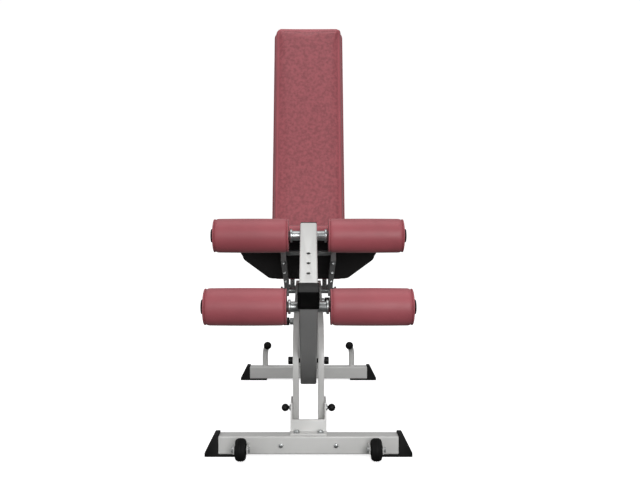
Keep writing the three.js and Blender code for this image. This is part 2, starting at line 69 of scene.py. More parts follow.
BRACKET_BOLT_OFF = 0.004  # from a foot's middle, towards the frame's ends
PEG_WELD_RADIUS = 0.0115
ROLLERS = [f"{level}_roller_{side}" for level in ("knee", "ankle") for side in ("left", "right")]


# ---------------------------------------------------------------- settings

class UpholsterySettings(bpy.types.PropertyGroup):
    vinyl: bpy.props.StringProperty(
        name="Vinyl", description="sRGB hex colour of the cover",
        default="#A9565E")
    grain: bpy.props.FloatProperty(
        name="Grain", description="Size of one pebble of the vinyl's grain", default=0.0022, unit="LENGTH")
    mottle: bpy.props.FloatProperty(
        name="Mottle", description="Size of the cloudy patches on the face panel",
        default=0.010, unit="LENGTH")
    edge_round: bpy.props.FloatProperty(
        name="Edge round", description="Radius of a pad's upper edge", default=0.014, unit="LENGTH")
    voxel: bpy.props.FloatProperty(
        name="Voxel", description="Mesh size of the padding before it swells", default=0.006, unit="LENGTH")
    pressure: bpy.props.FloatProperty(
        name="Pressure", description="Cloth pressure of the padding",
        default=4.0)
    pad_swell: bpy.props.FloatProperty(
        name="Pad swell", description="Most that a pad's skin may move", default=0.005, unit="LENGTH")
    roller_swell: bpy.props.FloatProperty(
        name="Roller swell", description="Most that a roller's skin may move", default=0.0022, unit="LENGTH")
    seam_inset: bpy.props.FloatProperty(
        name="Seam inset", description="Distance from a pad's edge to its face seam",
        default=0.021, unit="LENGTH")
    seam_depth: bpy.props.FloatProperty(
        name="Seam depth", description="Depth of the sewn groove", default=0.0016, unit="LENGTH")
    stitch_pitch: bpy.props.FloatProperty(
        name="Stitch pitch", description="Spacing of the stitches", default=0.0055, unit="LENGTH")
    welt: bpy.props.FloatProperty(
        name="Welt", description="Radius of the piping round pads and roller ends",
        default=0.0021, unit="LENGTH")


class MetalSettings(bpy.types.PropertyGroup):
    white: bpy.props.StringProperty(name="White", description="sRGB hex of the main coat", default="#DCDCDA")
    # Painted shade: this darker copy of the white coat is laid on parts that face down or sit under the seat,
    # where shade falls.
    shade_grey: bpy.props.StringProperty(name="Grey", description="sRGB hex of the second coat", default="#929292")
    zinc: bpy.props.StringProperty(name="Zinc", description="sRGB hex of plated steel", default="#B6B9B9")
    black: bpy.props.StringProperty(
        name="Black", description="sRGB hex of rubber and nylon",
        default="#070707")
    edge: bpy.props.FloatProperty(
        name="Edge", description="Rounding of pressed and cut edges", default=0.0011, unit="LENGTH")
    bead: bpy.props.FloatProperty(
        name="Bead", description="Half width of a weld bead",
        default=0.0028, unit="LENGTH")
    screw: bpy.props.FloatProperty(
        name="Screw head", description="Radius of a board screw's head", default=0.0052, unit="LENGTH")


class StageSettings(bpy.types.PropertyGroup):
    floor: bpy.props.StringProperty(name="Floor", description="sRGB hex of the floor", default="#FBFBFB")
    glow: bpy.props.FloatProperty(name="Glow", description="The sweep's own light", default=0.8)
    key: bpy.props.FloatProperty(name="Key", description="Power of the front light in watts", default=42)
    overhead: bpy.props.FloatProperty(
        name="Overhead", description="Power of the top light in watts",
        default=22)
    from_above: bpy.props.FloatProperty(
        name="From above", description="Ambient light from above",
        default=0.42)
    from_below: bpy.props.FloatProperty(
        name="From below", description="Ambient light from below",
        default=0.06)
    sweep_radius: bpy.props.FloatProperty(
        name="Sweep radius", description="Reach of the flat floor", default=9.0, unit="LENGTH")
    sweep_height: bpy.props.FloatProperty(
        name="Sweep height", description="Height of the wall", default=9.0, unit="LENGTH")
    eye_height: bpy.props.FloatProperty(
        name="Eye height", description="Camera height",
        default=0.547, unit="LENGTH")
    stand_off: bpy.props.FloatProperty(
        name="Stand off", description="Camera distance from the front foot", default=1.75, unit="LENGTH")
    lens: bpy.props.FloatProperty(name="Lens", description="Focal length in millimetres", default=39.4)


# ---------------------------------------------------------------- shared makers

def linear(hex_colour):
    """sRGB hex to linear RGBA."""
    channels = [int(hex_colour[i:i + 2], 16) / 255 for i in (1, 3, 5)]
    return tuple(c / 12.92 if c <= 0.04045 else ((c + 0.055) / 1.055) ** 2.4 for c in channels) + (1.0,)


def add_node(tree, kind, settings=None, values=None, links=None):
    """One node with its settings, its socket values and its incoming links."""
    made = tree.nodes.new(kind)
    for name, value in (settings or {}).items():
        setattr(made, name, value)
    for socket, value in (values or {}).items():
        made.inputs[socket].default_value = value
    for socket, (source, output) in (links or {}).items():
        tree.links.new(source.outputs[output], made.inputs[socket])
    return made


def new_material(name, values):
    """A Principled material with constants on its sockets; also returns its tree, shader and coordinates."""
    made = bpy.data.materials.new(name)
    made.use_nodes = True
    tree = made.node_tree
    shader = tree.nodes["Principled BSDF"]
    for socket, value in values.items():
        shader.inputs[socket].default_value = value
    return made, tree, shader, add_node(tree, "ShaderNodeTexCoord")


def shaded_noise(tree, coords, size, dark, light, detail=3.0, low=0.35, high=0.65):
    """Noise of one real size, ramped between two linear colours."""
    noise = add_node(tree, "ShaderNodeTexNoise", values={"Scale": 1 / size, "Detail": detail},
                     links={"Vector": (coords, "Object")})
    ramp = add_node(tree, "ShaderNodeValToRGB", links={"Fac": (noise, "Fac")})
    ramp.color_ramp.elements[0].position, ramp.color_ramp.elements[0].color = low, dark
    ramp.color_ramp.elements[1].position, ramp.color_ramp.elements[1].color = high, light
    return ramp


def scaled(colour, factor):
    return tuple(min(1.0, c * factor) for c in colour[:3]) + (1.0,)


def roughen(tree, shader, coords, size, low, high):
    """Roughness that drifts between two values, as handling leaves it."""
    noise = add_node(tree, "ShaderNodeTexNoise", values={"Scale": 1 / size, "Detail": 4.0},
                     links={"Vector": (coords, "Object")})
    span = add_node(tree, "ShaderNodeMapRange", values={"To Min": low, "To Max": high},
                    links={"Value": (noise, "Fac")})
    tree.links.new(span.outputs["Result"], shader.inputs["Roughness"])


def bump(tree, shader, height, output, strength, distance):
    made = add_node(tree, "ShaderNodeBump", values={"Strength": strength, "Distance": distance},
                    links={"Height": (height, output)})
    tree.links.new(made.outputs["Normal"], shader.inputs["Normal"])


def upholstery_vinyl(mottled):
    """Expanded PVC on a knitted back: a pebble grain softens its highlight; face panels are cloudy."""
    s = bpy.context.scene.bench_upholstery
    name = "mottled_expanded_vinyl" if mottled else "plain_expanded_vinyl"
    made, tree, shader, coords = new_material(name, {"Roughness": 0.5, "IOR": 1.5, "Sheen Weight": 0.12,
                                                     "Sheen Roughness": 0.4})
    base = linear(s.vinyl)
    # Painted highlight: outside the face panel, over the pad's rounded edges and sides, the colour is made lighter
    # to stand for the light that catches them.
    border_highlight = scaled(base, 1.16 if mottled else 1.0)
    broad = shaded_noise(tree, coords, 0.09, scaled(border_highlight, 0.93), scaled(border_highlight, 1.06))
    colour = broad
    if mottled:
        patches = shaded_noise(
            tree, coords, s.mottle, scaled(base, 0.76), scaled(base, 1.08), 5.0, 0.36, 0.62)
        panel = add_node(tree, "ShaderNodeAttribute", {"attribute_name": "panel"})
        colour = add_node(tree, "ShaderNodeMix", {"data_type": "RGBA"})
        tree.links.new(panel.outputs["Fac"], colour.inputs["Factor"])
        tree.links.new(broad.outputs["Color"], colour.inputs["A"])
        tree.links.new(patches.outputs["Color"], colour.inputs["B"])
    tree.links.new(colour.outputs["Result" if mottled else "Color"], shader.inputs["Base Color"])
    grain = add_node(tree, "ShaderNodeTexVoronoi", {"feature": "SMOOTH_F1"}, {"Scale": 1 / s.grain},
                     {"Vector": (coords, "Object")})
    bump(tree, shader, grain, "Distance", 0.35, 0.0006)
    roughen(tree, shader, coords, 0.03, 0.42, 0.56)
    return made


def powder_coat(name, hex_colour, low, high):
    """Polyester powder baked on steel: a fine orange peel under a soft gloss."""
    made, tree, shader, coords = new_material(name, {"IOR": 1.5, "Coat Weight": 0.25, "Coat Roughness": 0.2})
    base = linear(hex_colour)
    tone = shaded_noise(tree, coords, 0.12, scaled(base, 0.95), scaled(base, 1.03))
    tree.links.new(tone.outputs["Color"], shader.inputs["Base Color"])
    # Orange peel is near 1 mm across; it is drawn at 2 mm so that it shows.
    peel = add_node(tree, "ShaderNodeTexNoise", values={"Scale": 1 / 0.002, "Detail": 2.0},
                    links={"Vector": (coords, "Object")})
    bump(tree, shader, peel, "Fac", 0.12, 0.0004)
    roughen(tree, shader, coords, 0.05, low, high)
    return made


def moulded_black(name, low, high, grit):
    """Nylon or rubber from a spark-eroded mould: nearly black with a dull, gritty skin."""
    made, tree, shader, coords = new_material(name, {"IOR": 1.5, "Specular IOR Level": 0.3})
    base = linear(bpy.context.scene.bench_metal.black)
    tone = shaded_noise(tree, coords, 0.02, scaled(base, 0.8), scaled(base, 1.6))
    tree.links.new(tone.outputs["Color"], shader.inputs["Base Color"])
    grain = add_node(tree, "ShaderNodeTexNoise", values={"Scale": 1 / grit, "Detail": 3.0},
                     links={"Vector": (coords, "Object")})
    bump(tree, shader, grain, "Fac", 0.25, 0.0004)
    roughen(tree, shader, coords, 0.04, low, high)
    return made


def zinc_plate():
    """Bright zinc on drawn steel: a cool metal with fine lengthwise draw lines."""
    made, tree, shader, coords = new_material("zinc_plated_steel", {"Metallic": 0.9})
    base = linear(bpy.context.scene.bench_metal.zinc)
    tone = shaded_noise(tree, coords, 0.015, scaled(base, 0.85), scaled(base, 1.1))
    tree.links.new(tone.outputs["Color"], shader.inputs["Base Color"])
    lines = add_node(tree, "ShaderNodeMapping", values={"Scale": (40.0, 900.0, 900.0)},
                     links={"Vector": (coords, "Object")})
    drawn = add_node(tree, "ShaderNodeTexNoise", values={"Scale": 1.0, "Detail": 2.0},
                     links={"Vector": (lines, "Vector")})
    bump(tree, shader, drawn, "Fac", 0.15, 0.0002)
    roughen(tree, shader, coords, 0.03, 0.25, 0.42)
    return made


def backing_cloth():
    """Black spun-bonded cloth stapled over plywood: matt, with a faint cross weave."""
    made, tree, shader, coords = new_material("black_backing_cloth", {"Roughness": 0.9, "Sheen Weight": 0.05,
                                                                      "Specular IOR Level": 0.15})
    tone = shaded_noise(tree, coords, 0.006, linear("#0C0808"), linear("#191112"))
    tree.links.new(tone.outputs["Color"], shader.inputs["Base Color"])
    # Threads are near 0.8 mm apart; they are drawn 2 mm apart so that they show.
    weave = add_node(tree, "ShaderNodeTexWave", {"bands_direction": "DIAGONAL"}, {"Scale": 1 / 0.002 / 6.3},
                     {"Vector": (coords, "Object")})
    bump(tree, shader, weave, "Fac", 0.3, 0.0005)
    return made


def sewing_thread():
    """Bonded polyester thread, a shade darker than the vinyl."""
    s = bpy.context.scene.bench_upholstery
    made, tree, shader, coords = new_material(
        "bonded_polyester_thread", {"Roughness": 0.6, "Sheen Weight": 0.2})
    base = scaled(linear(s.vinyl), 0.55)
    tone = shaded_noise(tree, coords, 0.001, scaled(base, 0.8), scaled(base, 1.2))
    tree.links.new(tone.outputs["Color"], shader.inputs["Base Color"])
    return made


FINISHES = {}


def finish_for(slot):
    """The material of a record slot, made once."""
    s = bpy.context.scene.bench_metal
    makers = {
        "white_paint": lambda: powder_coat("white_powder_coat", s.white, 0.32, 0.44),
        # Painted shade: the grey coat darkens parts that face down or lie under the seat, standing for the shade
        # on them.
        "grey_paint": lambda: powder_coat("painted_shade_grey_coat", s.shade_grey, 0.38, 0.5),
        "rubber": lambda: moulded_black("moulded_rubber", 0.6, 0.78, 0.0012),
        "black_plastic": lambda: moulded_black("moulded_nylon", 0.35, 0.5, 0.0018),
        "steel": zinc_plate,
        "plywood": backing_cloth,
        "vinyl": lambda: upholstery_vinyl(False),
        "face": lambda: upholstery_vinyl(True),
        "thread": sewing_thread,
    }
    if slot not in FINISHES:
        FINISHES[slot] = makers[slot]()
    return FINISHES[slot]


def new_piece(name, mesh, material, body):
    """An object at the origin that rides on a body and takes its finish from a slot."""
    made = bpy.data.objects.new(name, mesh)
    bpy.context.scene.collection.objects.link(made)
    mesh.materials.clear()
    mesh.materials.append(material)
    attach(made, body)
    return made


def merged_copy(node):
    """A node's mesh with its loose triangles joined and its flat faces made whole."""
    made = bmesh.new()
    made.from_mesh(frame["nodes"][node].data)
    bmesh.ops.remove_doubles(made, verts=made.verts, dist=2e-5)
    bmesh.ops.dissolve_degenerate(made, dist=1e-5, edges=made.edges)
    bmesh.ops.dissolve_limit(made, angle_limit=math.radians(0.6), verts=made.verts, edges=made.edges)
    return made


def evaluated_mesh(obj):
    """The object's mesh with its modifiers applied, then the modifiers removed."""
    graph = bpy.context.evaluated_depsgraph_get()
    mesh = bpy.data.meshes.new_from_object(obj.evaluated_get(graph))
    obj.modifiers.clear()
    return mesh


def smooth_by_angle(mesh, degrees):
    mesh.polygons.foreach_set("use_smooth", [True] * len(mesh.polygons))
    bm = bmesh.new()
    bm.from_mesh(mesh)
    for edge in bm.edges:
        edge.smooth = len(edge.link_faces) == 2 and edge.calc_face_angle(0.0) < math.radians(degrees)
    bm.to_mesh(mesh)
    bm.free()


def tube_between(points, radius, sides=10, closed=False):
    """Mesh of a round tube along points."""
    curve = bpy.data.curves.new("run", "CURVE")
    curve.dimensions = "3D"
    curve.bevel_depth, curve.bevel_resolution = radius, max(1, sides // 4)
    curve.use_fill_caps = not closed
    spline = curve.splines.new("POLY")
    spline.points.add(len(points) - 1)
    for slot, point in zip(spline.points, points):
        slot.co = (*point, 1.0)
    spline.use_cyclic_u = closed
    holder = bpy.data.objects.new("run", curve)
    bpy.context.scene.collection.objects.link(holder)
    graph = bpy.context.evaluated_depsgraph_get()
    mesh = bpy.data.meshes.new_from_object(holder.evaluated_get(graph))
    bpy.data.objects.remove(holder)
    mesh.polygons.foreach_set("use_smooth", [True] * len(mesh.polygons))
    return mesh


# ---------------------------------------------------------------- padding

def to_rest(joint, degrees):
    """From a pad's flat position, with its pivot at the origin, to where it stands at rest."""
    return Matrix.Translation(JOINT[joint]["pos_m"]) @ Matrix.Rotation(math.radians(degrees), 4, "X")


BACK_REST = to_rest("back_tilt", -JOINT["back_tilt"]["range_deg"][0])
SEAT_REST = to_rest("seat_tilt", -JOINT["seat_tilt"]["range_deg"][1])


def plan_outline(bm):
    """A flat pad's convex outline, anticlockwise."""
    hull = sorted({(round(v.co.x, 5), round(v.co.y, 5)) for v in bm.verts})
    cx = sum(p[0] for p in hull) / len(hull)
    cy = sum(p[1] for p in hull) / len(hull)
    return [Vector(p) for p in sorted(hull, key=lambda p: math.atan2(p[1] - cy, p[0] - cx))]


def inset_outline(outline, distance):
    """The outline moved inwards by a distance."""
    moved = []
    for i, point in enumerate(outline):
        before = (point - outline[i - 1]).normalized()
        after = (outline[(i + 1) % len(outline)] - point).normalized()
        normal = Vector((-(before.y + after.y), before.x + after.x)).normalized()
        share = max(0.5, normal.dot(Vector((-before.y, before.x))))
        moved.append(point + normal * distance / share)
    return moved


def inward_distance(outline, x, y):
    """How far a plan point lies inside a convex outline."""
    least = 1.0
    for i, point in enumerate(outline):
        edge = outline[(i + 1) % len(outline)] - point
        if edge.length > 1e-6:
            least = min(least, (edge.x * (y - point.y) - edge.y * (x - point.x)) / edge.length)
    return least


def swell(obj, pinned, cap, pressure):
    """Cloth under pressure, its movement capped; pinned vertices stay."""
    group = obj.vertex_groups.new(name="held")
    group.add(pinned, 1.0, "REPLACE")
    start = [v.co.copy() for v in obj.data.vertices]
    cloth = obj.modifiers.new("padding", "CLOTH")
    cloth.settings.use_pressure = True
    cloth.settings.uniform_pressure_force = pressure
    cloth.settings.vertex_group_mass = "held"
    cloth.settings.effector_weights.gravity = 0.0
    cloth.settings.quality = 4
    scene = bpy.context.scene
    for tick in range(1, 21):
        scene.frame_set(tick)
    graph = bpy.context.evaluated_depsgraph_get()
    moved = [v.co.copy() for v in obj.evaluated_get(graph).data.vertices]
    obj.modifiers.clear()
    obj.vertex_groups.clear()
    scene.frame_set(1)
    for vertex, before, after in zip(obj.data.vertices, start, moved):
        step = after - before
        vertex.co = before + step * min(1.0, cap / max(step.length, 1e-9))


def relax(bm, times, keep):
    """Light smoothing that leaves kept vertices alone."""
    free = [v for v in bm.verts if not keep(v)]
    for _pass in range(times):
        bmesh.ops.smooth_vert(bm, verts=free, factor=0.5, use_axis_x=True, use_axis_y=True, use_axis_z=True)


def stuffed_pad(name, node, rest, joint_body):
    """A crowned foam pad under vinyl, flat against its board, with a sewn face panel."""
    s = bpy.context.scene.bench_upholstery
    flat = rest.inverted()
    blank = merged_copy(node)
    blank.transform(flat)
    outline = plan_outline(blank)
    zs = [v.co.z for v in blank.verts]
    low, high = min(zs), max(zs)
    xs = [p.x for p in outline]
    ys = [p.y for p in outline]
    middle = Vector(((min(xs) + max(xs)) / 2, (min(ys) + max(ys)) / 2))
    span = Vector((max(xs) - min(xs), max(ys) - min(ys)))
    for v in blank.verts:
        v.co.x = middle.x + (v.co.x - middle.x) * (1 - 2 * PAD_SIDE_ROOM / span.x)
        v.co.y = middle.y + (v.co.y - middle.y) * (1 - 2 * PAD_SIDE_ROOM / span.y)
        v.co.z = low + (v.co.z - low) * (1 - PAD_TOP_ROOM / (high - low))
    rims = [e for e in blank.edges if e.is_manifold and e.calc_face_angle(0) > math.radians(60)]
    upper = [e for e in rims if min(v.co.z for v in e.verts) > (low + high) / 2]
    bmesh.ops.bevel(blank, geom=upper, offset=s.edge_round, segments=4, profile=0.5, affect="EDGES")
    mesh = bpy.data.meshes.new(name)
    blank.to_mesh(mesh)
    blank.free()
    holder = bpy.data.objects.new("blank", mesh)
    bpy.context.scene.collection.objects.link(holder)
    remesh = holder.modifiers.new("skin", "REMESH")
    remesh.mode, remesh.voxel_size = "VOXEL", s.voxel
    holder.data = evaluated_mesh(holder)
    held = [v.index for v in holder.data.vertices if v.co.z < low + s.voxel]
    swell(holder, held, s.pad_swell, s.pressure)
    shape_face(holder.data, outline, low)
    skin = holder.data
    seam_points = seam_on(skin, outline, s.seam_inset)
    bpy.data.objects.remove(holder)
    skin.transform(rest)
    skin.name = name
    skin.polygons.foreach_set("use_smooth", [True] * len(skin.polygons))
    pad = new_piece(name, skin, finish_for("face"), joint_body)
    levels = pad.modifiers.new("fine", "SUBSURF")
    levels.levels = levels.render_levels = 1
    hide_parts(node)
    stitches = stitch_run(f"{name}_stitches", [rest @ p for p in seam_points])
    new_piece(f"{name}_stitches", stitches, finish_for("thread"), joint_body)
    welt_line = [rest @ Vector((p.x, p.y, low + s.welt)) for p in inset_outline(outline, 0.003)]
    welt = tube_between(welt_line, s.welt, 12, closed=True)
    new_piece(f"{name}_welt", welt, finish_for("vinyl"), joint_body)
    return pad


def shape_face(mesh, outline, low):
    """Sinks the seam into the face and marks the panel inside it."""
    s = bpy.context.scene.bench_upholstery
    bm = bmesh.new()
    bm.from_mesh(mesh)
    relax(bm, 3, lambda v: v.co.z < low + s.voxel)
    panel = bm.verts.layers.float.new("panel")
    top = max(v.co.z for v in bm.verts)
    for v in bm.verts:
        inward = inward_distance(outline, v.co.x, v.co.y)
        v[panel] = min(1.0, max(0.0, (inward - s.seam_inset) / 0.006 + 0.5))
        if v.co.z > (top + low) / 2:
            v.co.z -= s.seam_depth * math.exp(-((inward - s.seam_inset) / 0.004) ** 2)
    bm.to_mesh(mesh)
    bm.free()


def seam_on(mesh, outline, inset):
    """Points along the seam, dropped onto the pad's face."""
    tree = BVHTree.FromPolygons([v.co for v in mesh.vertices], [list(p.vertices) for p in mesh.polygons])
    line = []
    ring = inset_outline(outline, inset)
    for i, start in enumerate(ring):
        stop = ring[(i + 1) % len(ring)]
        parts = max(1, round((stop - start).length / 0.01))
        line += [start.lerp(stop, k / parts) for k in range(parts)]
    dropped = []
    for point in line:
        hit = tree.ray_cast(Vector((point.x, point.y, 1.0)), Vector((0, 0, -1)))[0]
        if hit is not None:
            dropped.append(hit + Vector((0, 0, 0.0004)))
    return dropped


# ---------------------------------------------------------------- node trees for what repeats

def node_group(name, inputs):
    """An empty geometry tree with a geometry input, named size inputs and a geometry output."""
    tree = bpy.data.node_groups.new(name, "GeometryNodeTree")
    tree.interface.new_socket("Geometry", in_out="INPUT", socket_type="NodeSocketGeometry")
    for label, value in inputs.items():
        kind = "NodeSocketInt" if isinstance(value, int) else "NodeSocketFloat"
        socket = tree.interface.new_socket(label, in_out="INPUT", socket_type=kind)
        socket.default_value = value
    tree.interface.new_socket("Geometry", in_out="OUTPUT", socket_type="NodeSocketGeometry")
    return tree, add_node(tree, "NodeGroupInput"), add_node(tree, "NodeGroupOutput")


def finish_tree(tree, last, output, material, out):
    real = add_node(tree, "GeometryNodeRealizeInstances", links={"Geometry": (last, output)})
    coated = add_node(tree, "GeometryNodeSetMaterial", values={"Material": material},
                      links={"Geometry": (real, "Geometry")})
    tree.links.new(coated.outputs["Geometry"], out.inputs["Geometry"])


def run_tree(tree, carrier, sizes):
    """Runs a tree on a carrier object with its sizes set by socket identifier; returns the mesh."""
    holder = bpy.data.objects.new("carrier", carrier)
    bpy.context.scene.collection.objects.link(holder)
    modifier = holder.modifiers.new("make", "NODES")
    modifier.node_group = tree
    for item in tree.interface.items_tree:
        if item.in_out == "INPUT" and item.name in sizes:
            modifier[item.identifier] = sizes[item.name]
    mesh = evaluated_mesh(holder)
    bpy.data.objects.remove(holder)
    mesh.polygons.foreach_set("use_smooth", [True] * len(mesh.polygons))
    return mesh


def poly_curve(runs, closed):
    curve = bpy.data.curves.new("runs", "CURVE")
    curve.dimensions = "3D"
    for points in runs:
        spline = curve.splines.new("POLY")
        spline.points.add(len(points) - 1)
        for slot, point in zip(spline.points, points):
            slot.co = (*point, 1.0)
        spline.use_cyclic_u = closed
    return curve


def beads_tree(name, material):
    """Flattened beads set along curves: stitches when long and thin, weld ripples when round and close."""
    tree, given, out = node_group(name, {"Pitch": 0.005, "Long": 0.002, "Wide": 0.0005, "High": 0.0004})
    spaced = add_node(tree, "GeometryNodeResampleCurve", {"mode": "LENGTH"},
                      links={"Curve": (given, "Geometry"), "Length": (given, "Pitch")})
    along = add_node(tree, "GeometryNodeInputTangent")
    turn = add_node(tree, "FunctionNodeAlignRotationToVector", {"axis": "X"},
                    links={"Vector": (along, "Tangent")})
    size = add_node(tree, "ShaderNodeCombineXYZ", links={"X": (given, "Long"), "Y": (given, "Wide"),
                                                         "Z": (given, "High")})
    bead = add_node(tree, "GeometryNodeMeshUVSphere", values={"Segments": 8, "Rings": 5, "Radius": 1.0})
    placed = add_node(tree, "GeometryNodeInstanceOnPoints",
                      links={"Points": (spaced, "Curve"), "Instance": (bead, "Mesh"),
                             "Rotation": (turn, "Rotation"), "Scale": (size, "Vector")})
    finish_tree(tree, placed, "Instances", material, out)
    return tree


def stitch_run(name, points):
    s = bpy.context.scene.bench_upholstery
    tree = beads_tree(name, finish_for("thread"))
    sizes = {"Pitch": s.stitch_pitch, "Long": s.stitch_pitch * 0.36, "Wide": 0.0005, "High": 0.0005}
    return run_tree(tree, poly_curve([points], True), sizes)


def fastener_tree(material):
    """A washer and a hex head on every carrier point, turned to the point's stored axis."""
    tree, given, out = node_group("hex_fasteners", {"Head": 0.005, "Height": 0.0035, "Washer": 0.0085})
    axis = add_node(tree, "GeometryNodeInputNamedAttribute", {"data_type": "FLOAT_VECTOR"}, {"Name": "axis"})
    turn = add_node(tree, "FunctionNodeAlignRotationToVector", {"axis": "Z"},
                    links={"Vector": (axis, "Attribute")})
    head = add_node(tree, "GeometryNodeMeshCone",
                    values={"Vertices": 6, "Side Segments": 1, "Fill Segments": 1},
                    links={"Radius Bottom": (given, "Head"), "Depth": (given, "Height")})
    crown = add_node(tree, "ShaderNodeMath", {"operation": "MULTIPLY"}, {1: 0.86}, {0: (given, "Head")})
    tree.links.new(crown.outputs[0], head.inputs["Radius Top"])
    washer = add_node(tree, "GeometryNodeMeshCylinder", values={"Vertices": 20, "Depth": WASHER_THICK},
                      links={"Radius": (given, "Washer")})
    both = add_node(tree, "GeometryNodeJoinGeometry", links={"Geometry": (head, "Mesh")})
    tree.links.new(washer.outputs["Mesh"], both.inputs["Geometry"])
    placed = add_node(tree, "GeometryNodeInstanceOnPoints",
                      links={"Points": (given, "Geometry"), "Instance": (both, "Geometry"),
                             "Rotation": (turn, "Rotation")})
    finish_tree(tree, placed, "Instances", material, out)
    return tree


def fasteners(name, body, places, head, height, washer):
    """Hex fasteners at (point, axis) places on one body."""
    carrier = bpy.data.meshes.new(name)
    carrier.from_pydata([tuple(point) for point, _ in places], [], [])
    store = carrier.attributes.new("axis", "FLOAT_VECTOR", "POINT")
    store.data.foreach_set("vector", [c for _, axis in places for c in axis])
    sizes = {"Head": head, "Height": height, "Washer": washer}
    mesh = run_tree(fastener_tree(finish_for("steel")), carrier, sizes)
    smooth_by_angle(mesh, 30)
    return new_piece(name, mesh, finish_for("steel"), body)


# ---------------------------------------------------------------- operators

class BENCH_OT_back_pad(bpy.types.Operator):
    """Upholster the back pad"""
    bl_idname = "bench.back_pad"
    bl_label = "Back pad"

    def execute(self, context):
        stuffed_pad("back_cushion", "back_pad", BACK_REST, "back")
        return {"FINISHED"}


class BENCH_OT_seat_pad(bpy.types.Operator):
    """Upholster the seat pad"""
    bl_idname = "bench.seat_pad"
    bl_label = "Seat pad"

    def execute(self, context):
        stuffed_pad("seat_cushion", "seat_pad", SEAT_REST, "seat")
        return {"FINISHED"}


def roller_sleeve(node):
    """A foam sleeve on its shaft under a sewn vinyl tube with a welt at each end."""
    s = bpy.context.scene.bench_upholstery
    low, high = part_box(node)
    centre, radius, half = (low + high) / 2, (high.z - low.z) / 2, (high.x - low.x) / 2
    bore = 0.0135
    turns, steps = 64, 26
    face = half - 0.0035
    profile = [(bore, -half + 0.004), (bore + 0.012, -face - 0.001), (radius * 0.8, -face - 0.0015)]
    profile += [(radius - 0.006 - ROLLER_ROOM, -face), (radius - 0.0015 - ROLLER_ROOM, -face + 0.0045)]
    crown = 0.0006
    profile += [(radius - ROLLER_ROOM + crown * math.sin(math.pi * i / steps),
                 (-1 + 2 * i / steps) * (half - 0.012)) for i in range(steps + 1)]
    profile += [(r, -x) for r, x in reversed(profile[:5])]
    verts, faces = [], []
    for i in range(turns):
        a = 2 * math.pi * i / turns
        verts += [(centre.x + x, centre.y + r * math.cos(a), centre.z + r * math.sin(a)) for r, x in profile]
    count = len(profile)
    for i in range(turns):
        here, there = i * count, ((i + 1) % turns) * count
        faces += [(here + k, here + (k + 1) % count, there + (k + 1) % count, there + k)
                  for k in range(count)]
    mesh = bpy.data.meshes.new(node)
    mesh.from_pydata(verts, [], faces)
    bm = bmesh.new()
    bm.from_mesh(mesh)
    bmesh.ops.recalc_face_normals(bm, faces=bm.faces)
    bm.to_mesh(mesh)
    bm.free()
    holder = bpy.data.objects.new("sleeve", mesh)
    bpy.context.scene.collection.objects.link(holder)
    held = [v.index for v in mesh.vertices
            if math.hypot(v.co.y - centre.y, v.co.z - centre.z) < bore + 0.008
            or (abs(abs(v.co.x - centre.x) - face) < 0.006
                and math.hypot(v.co.y - centre.y, v.co.z - centre.z) > radius - 0.01)]
    swell(holder, held, s.roller_swell, s.pressure * 0.6)
    bpy.data.objects.remove(holder)
    mesh.polygons.foreach_set("use_smooth", [True] * len(mesh.polygons))
    body = BODY_OF[node]
    sleeve = new_piece(f"{node}_sleeve", mesh, finish_for("vinyl"), body)
    levels = sleeve.modifiers.new("fine", "SUBSURF")
    levels.levels = levels.render_levels = 1
    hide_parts(node)
    for end, sign in (("inner", -1), ("outer", 1)):
        ring = [Vector((centre.x + sign * (face - 0.0006), centre.y + (radius - 0.0045) * math.cos(a),
                        centre.z + (radius - 0.0045) * math.sin(a)))
                for a in (2 * math.pi * i / 72 for i in range(72))]
        welt = tube_between(ring, s.welt, 12, closed=True)
        new_piece(f"{node}_{end}_welt", welt, finish_for("vinyl"), body)


class BENCH_OT_rollers(bpy.types.Operator):
    """Cover the foam rollers"""
    bl_idname = "bench.rollers"
    bl_label = "Foam rollers"

    def execute(self, context):
        for node in ROLLERS:
            roller_sleeve(node)
        return {"FINISHED"}


SOFT_NODES = {"back_pad", "seat_pad", *ROLLERS}
WHEELS = ("transport_wheel_left", "transport_wheel_right")


def eased(node, width):
    """A hard node with its edges eased, standing for the node."""
    bm = merged_copy(node)
    mesh = bpy.data.meshes.new(node)
    bm.to_mesh(mesh)
    bm.free()
    slot = SLOT_OF[node]
    piece = new_piece(f"{node}_eased", mesh, finish_for(slot), BODY_OF[node])
    bevel = piece.modifiers.new("ease", "BEVEL")
    bevel.width, bevel.segments, bevel.limit_method = width, 2, "ANGLE"
    bevel.angle_limit = math.radians(38)
    bevel.use_clamp_overlap = True
    piece.data = evaluated_mesh(piece)
    smooth_by_angle(piece.data, 32)
    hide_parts(node)
    return piece


class BENCH_OT_metalwork(bpy.types.Operator):
    """Ease and coat the frame, plates, bolts, pins and boards"""
    bl_idname = "bench.metalwork"
    bl_label = "Metalwork"

    def execute(self, context):
        edge = context.scene.bench_metal.edge
        for node in sorted(frame["nodes"]):
            if node not in SOFT_NODES and node not in WHEELS:
                eased(node, edge)
        return {"FINISHED"}


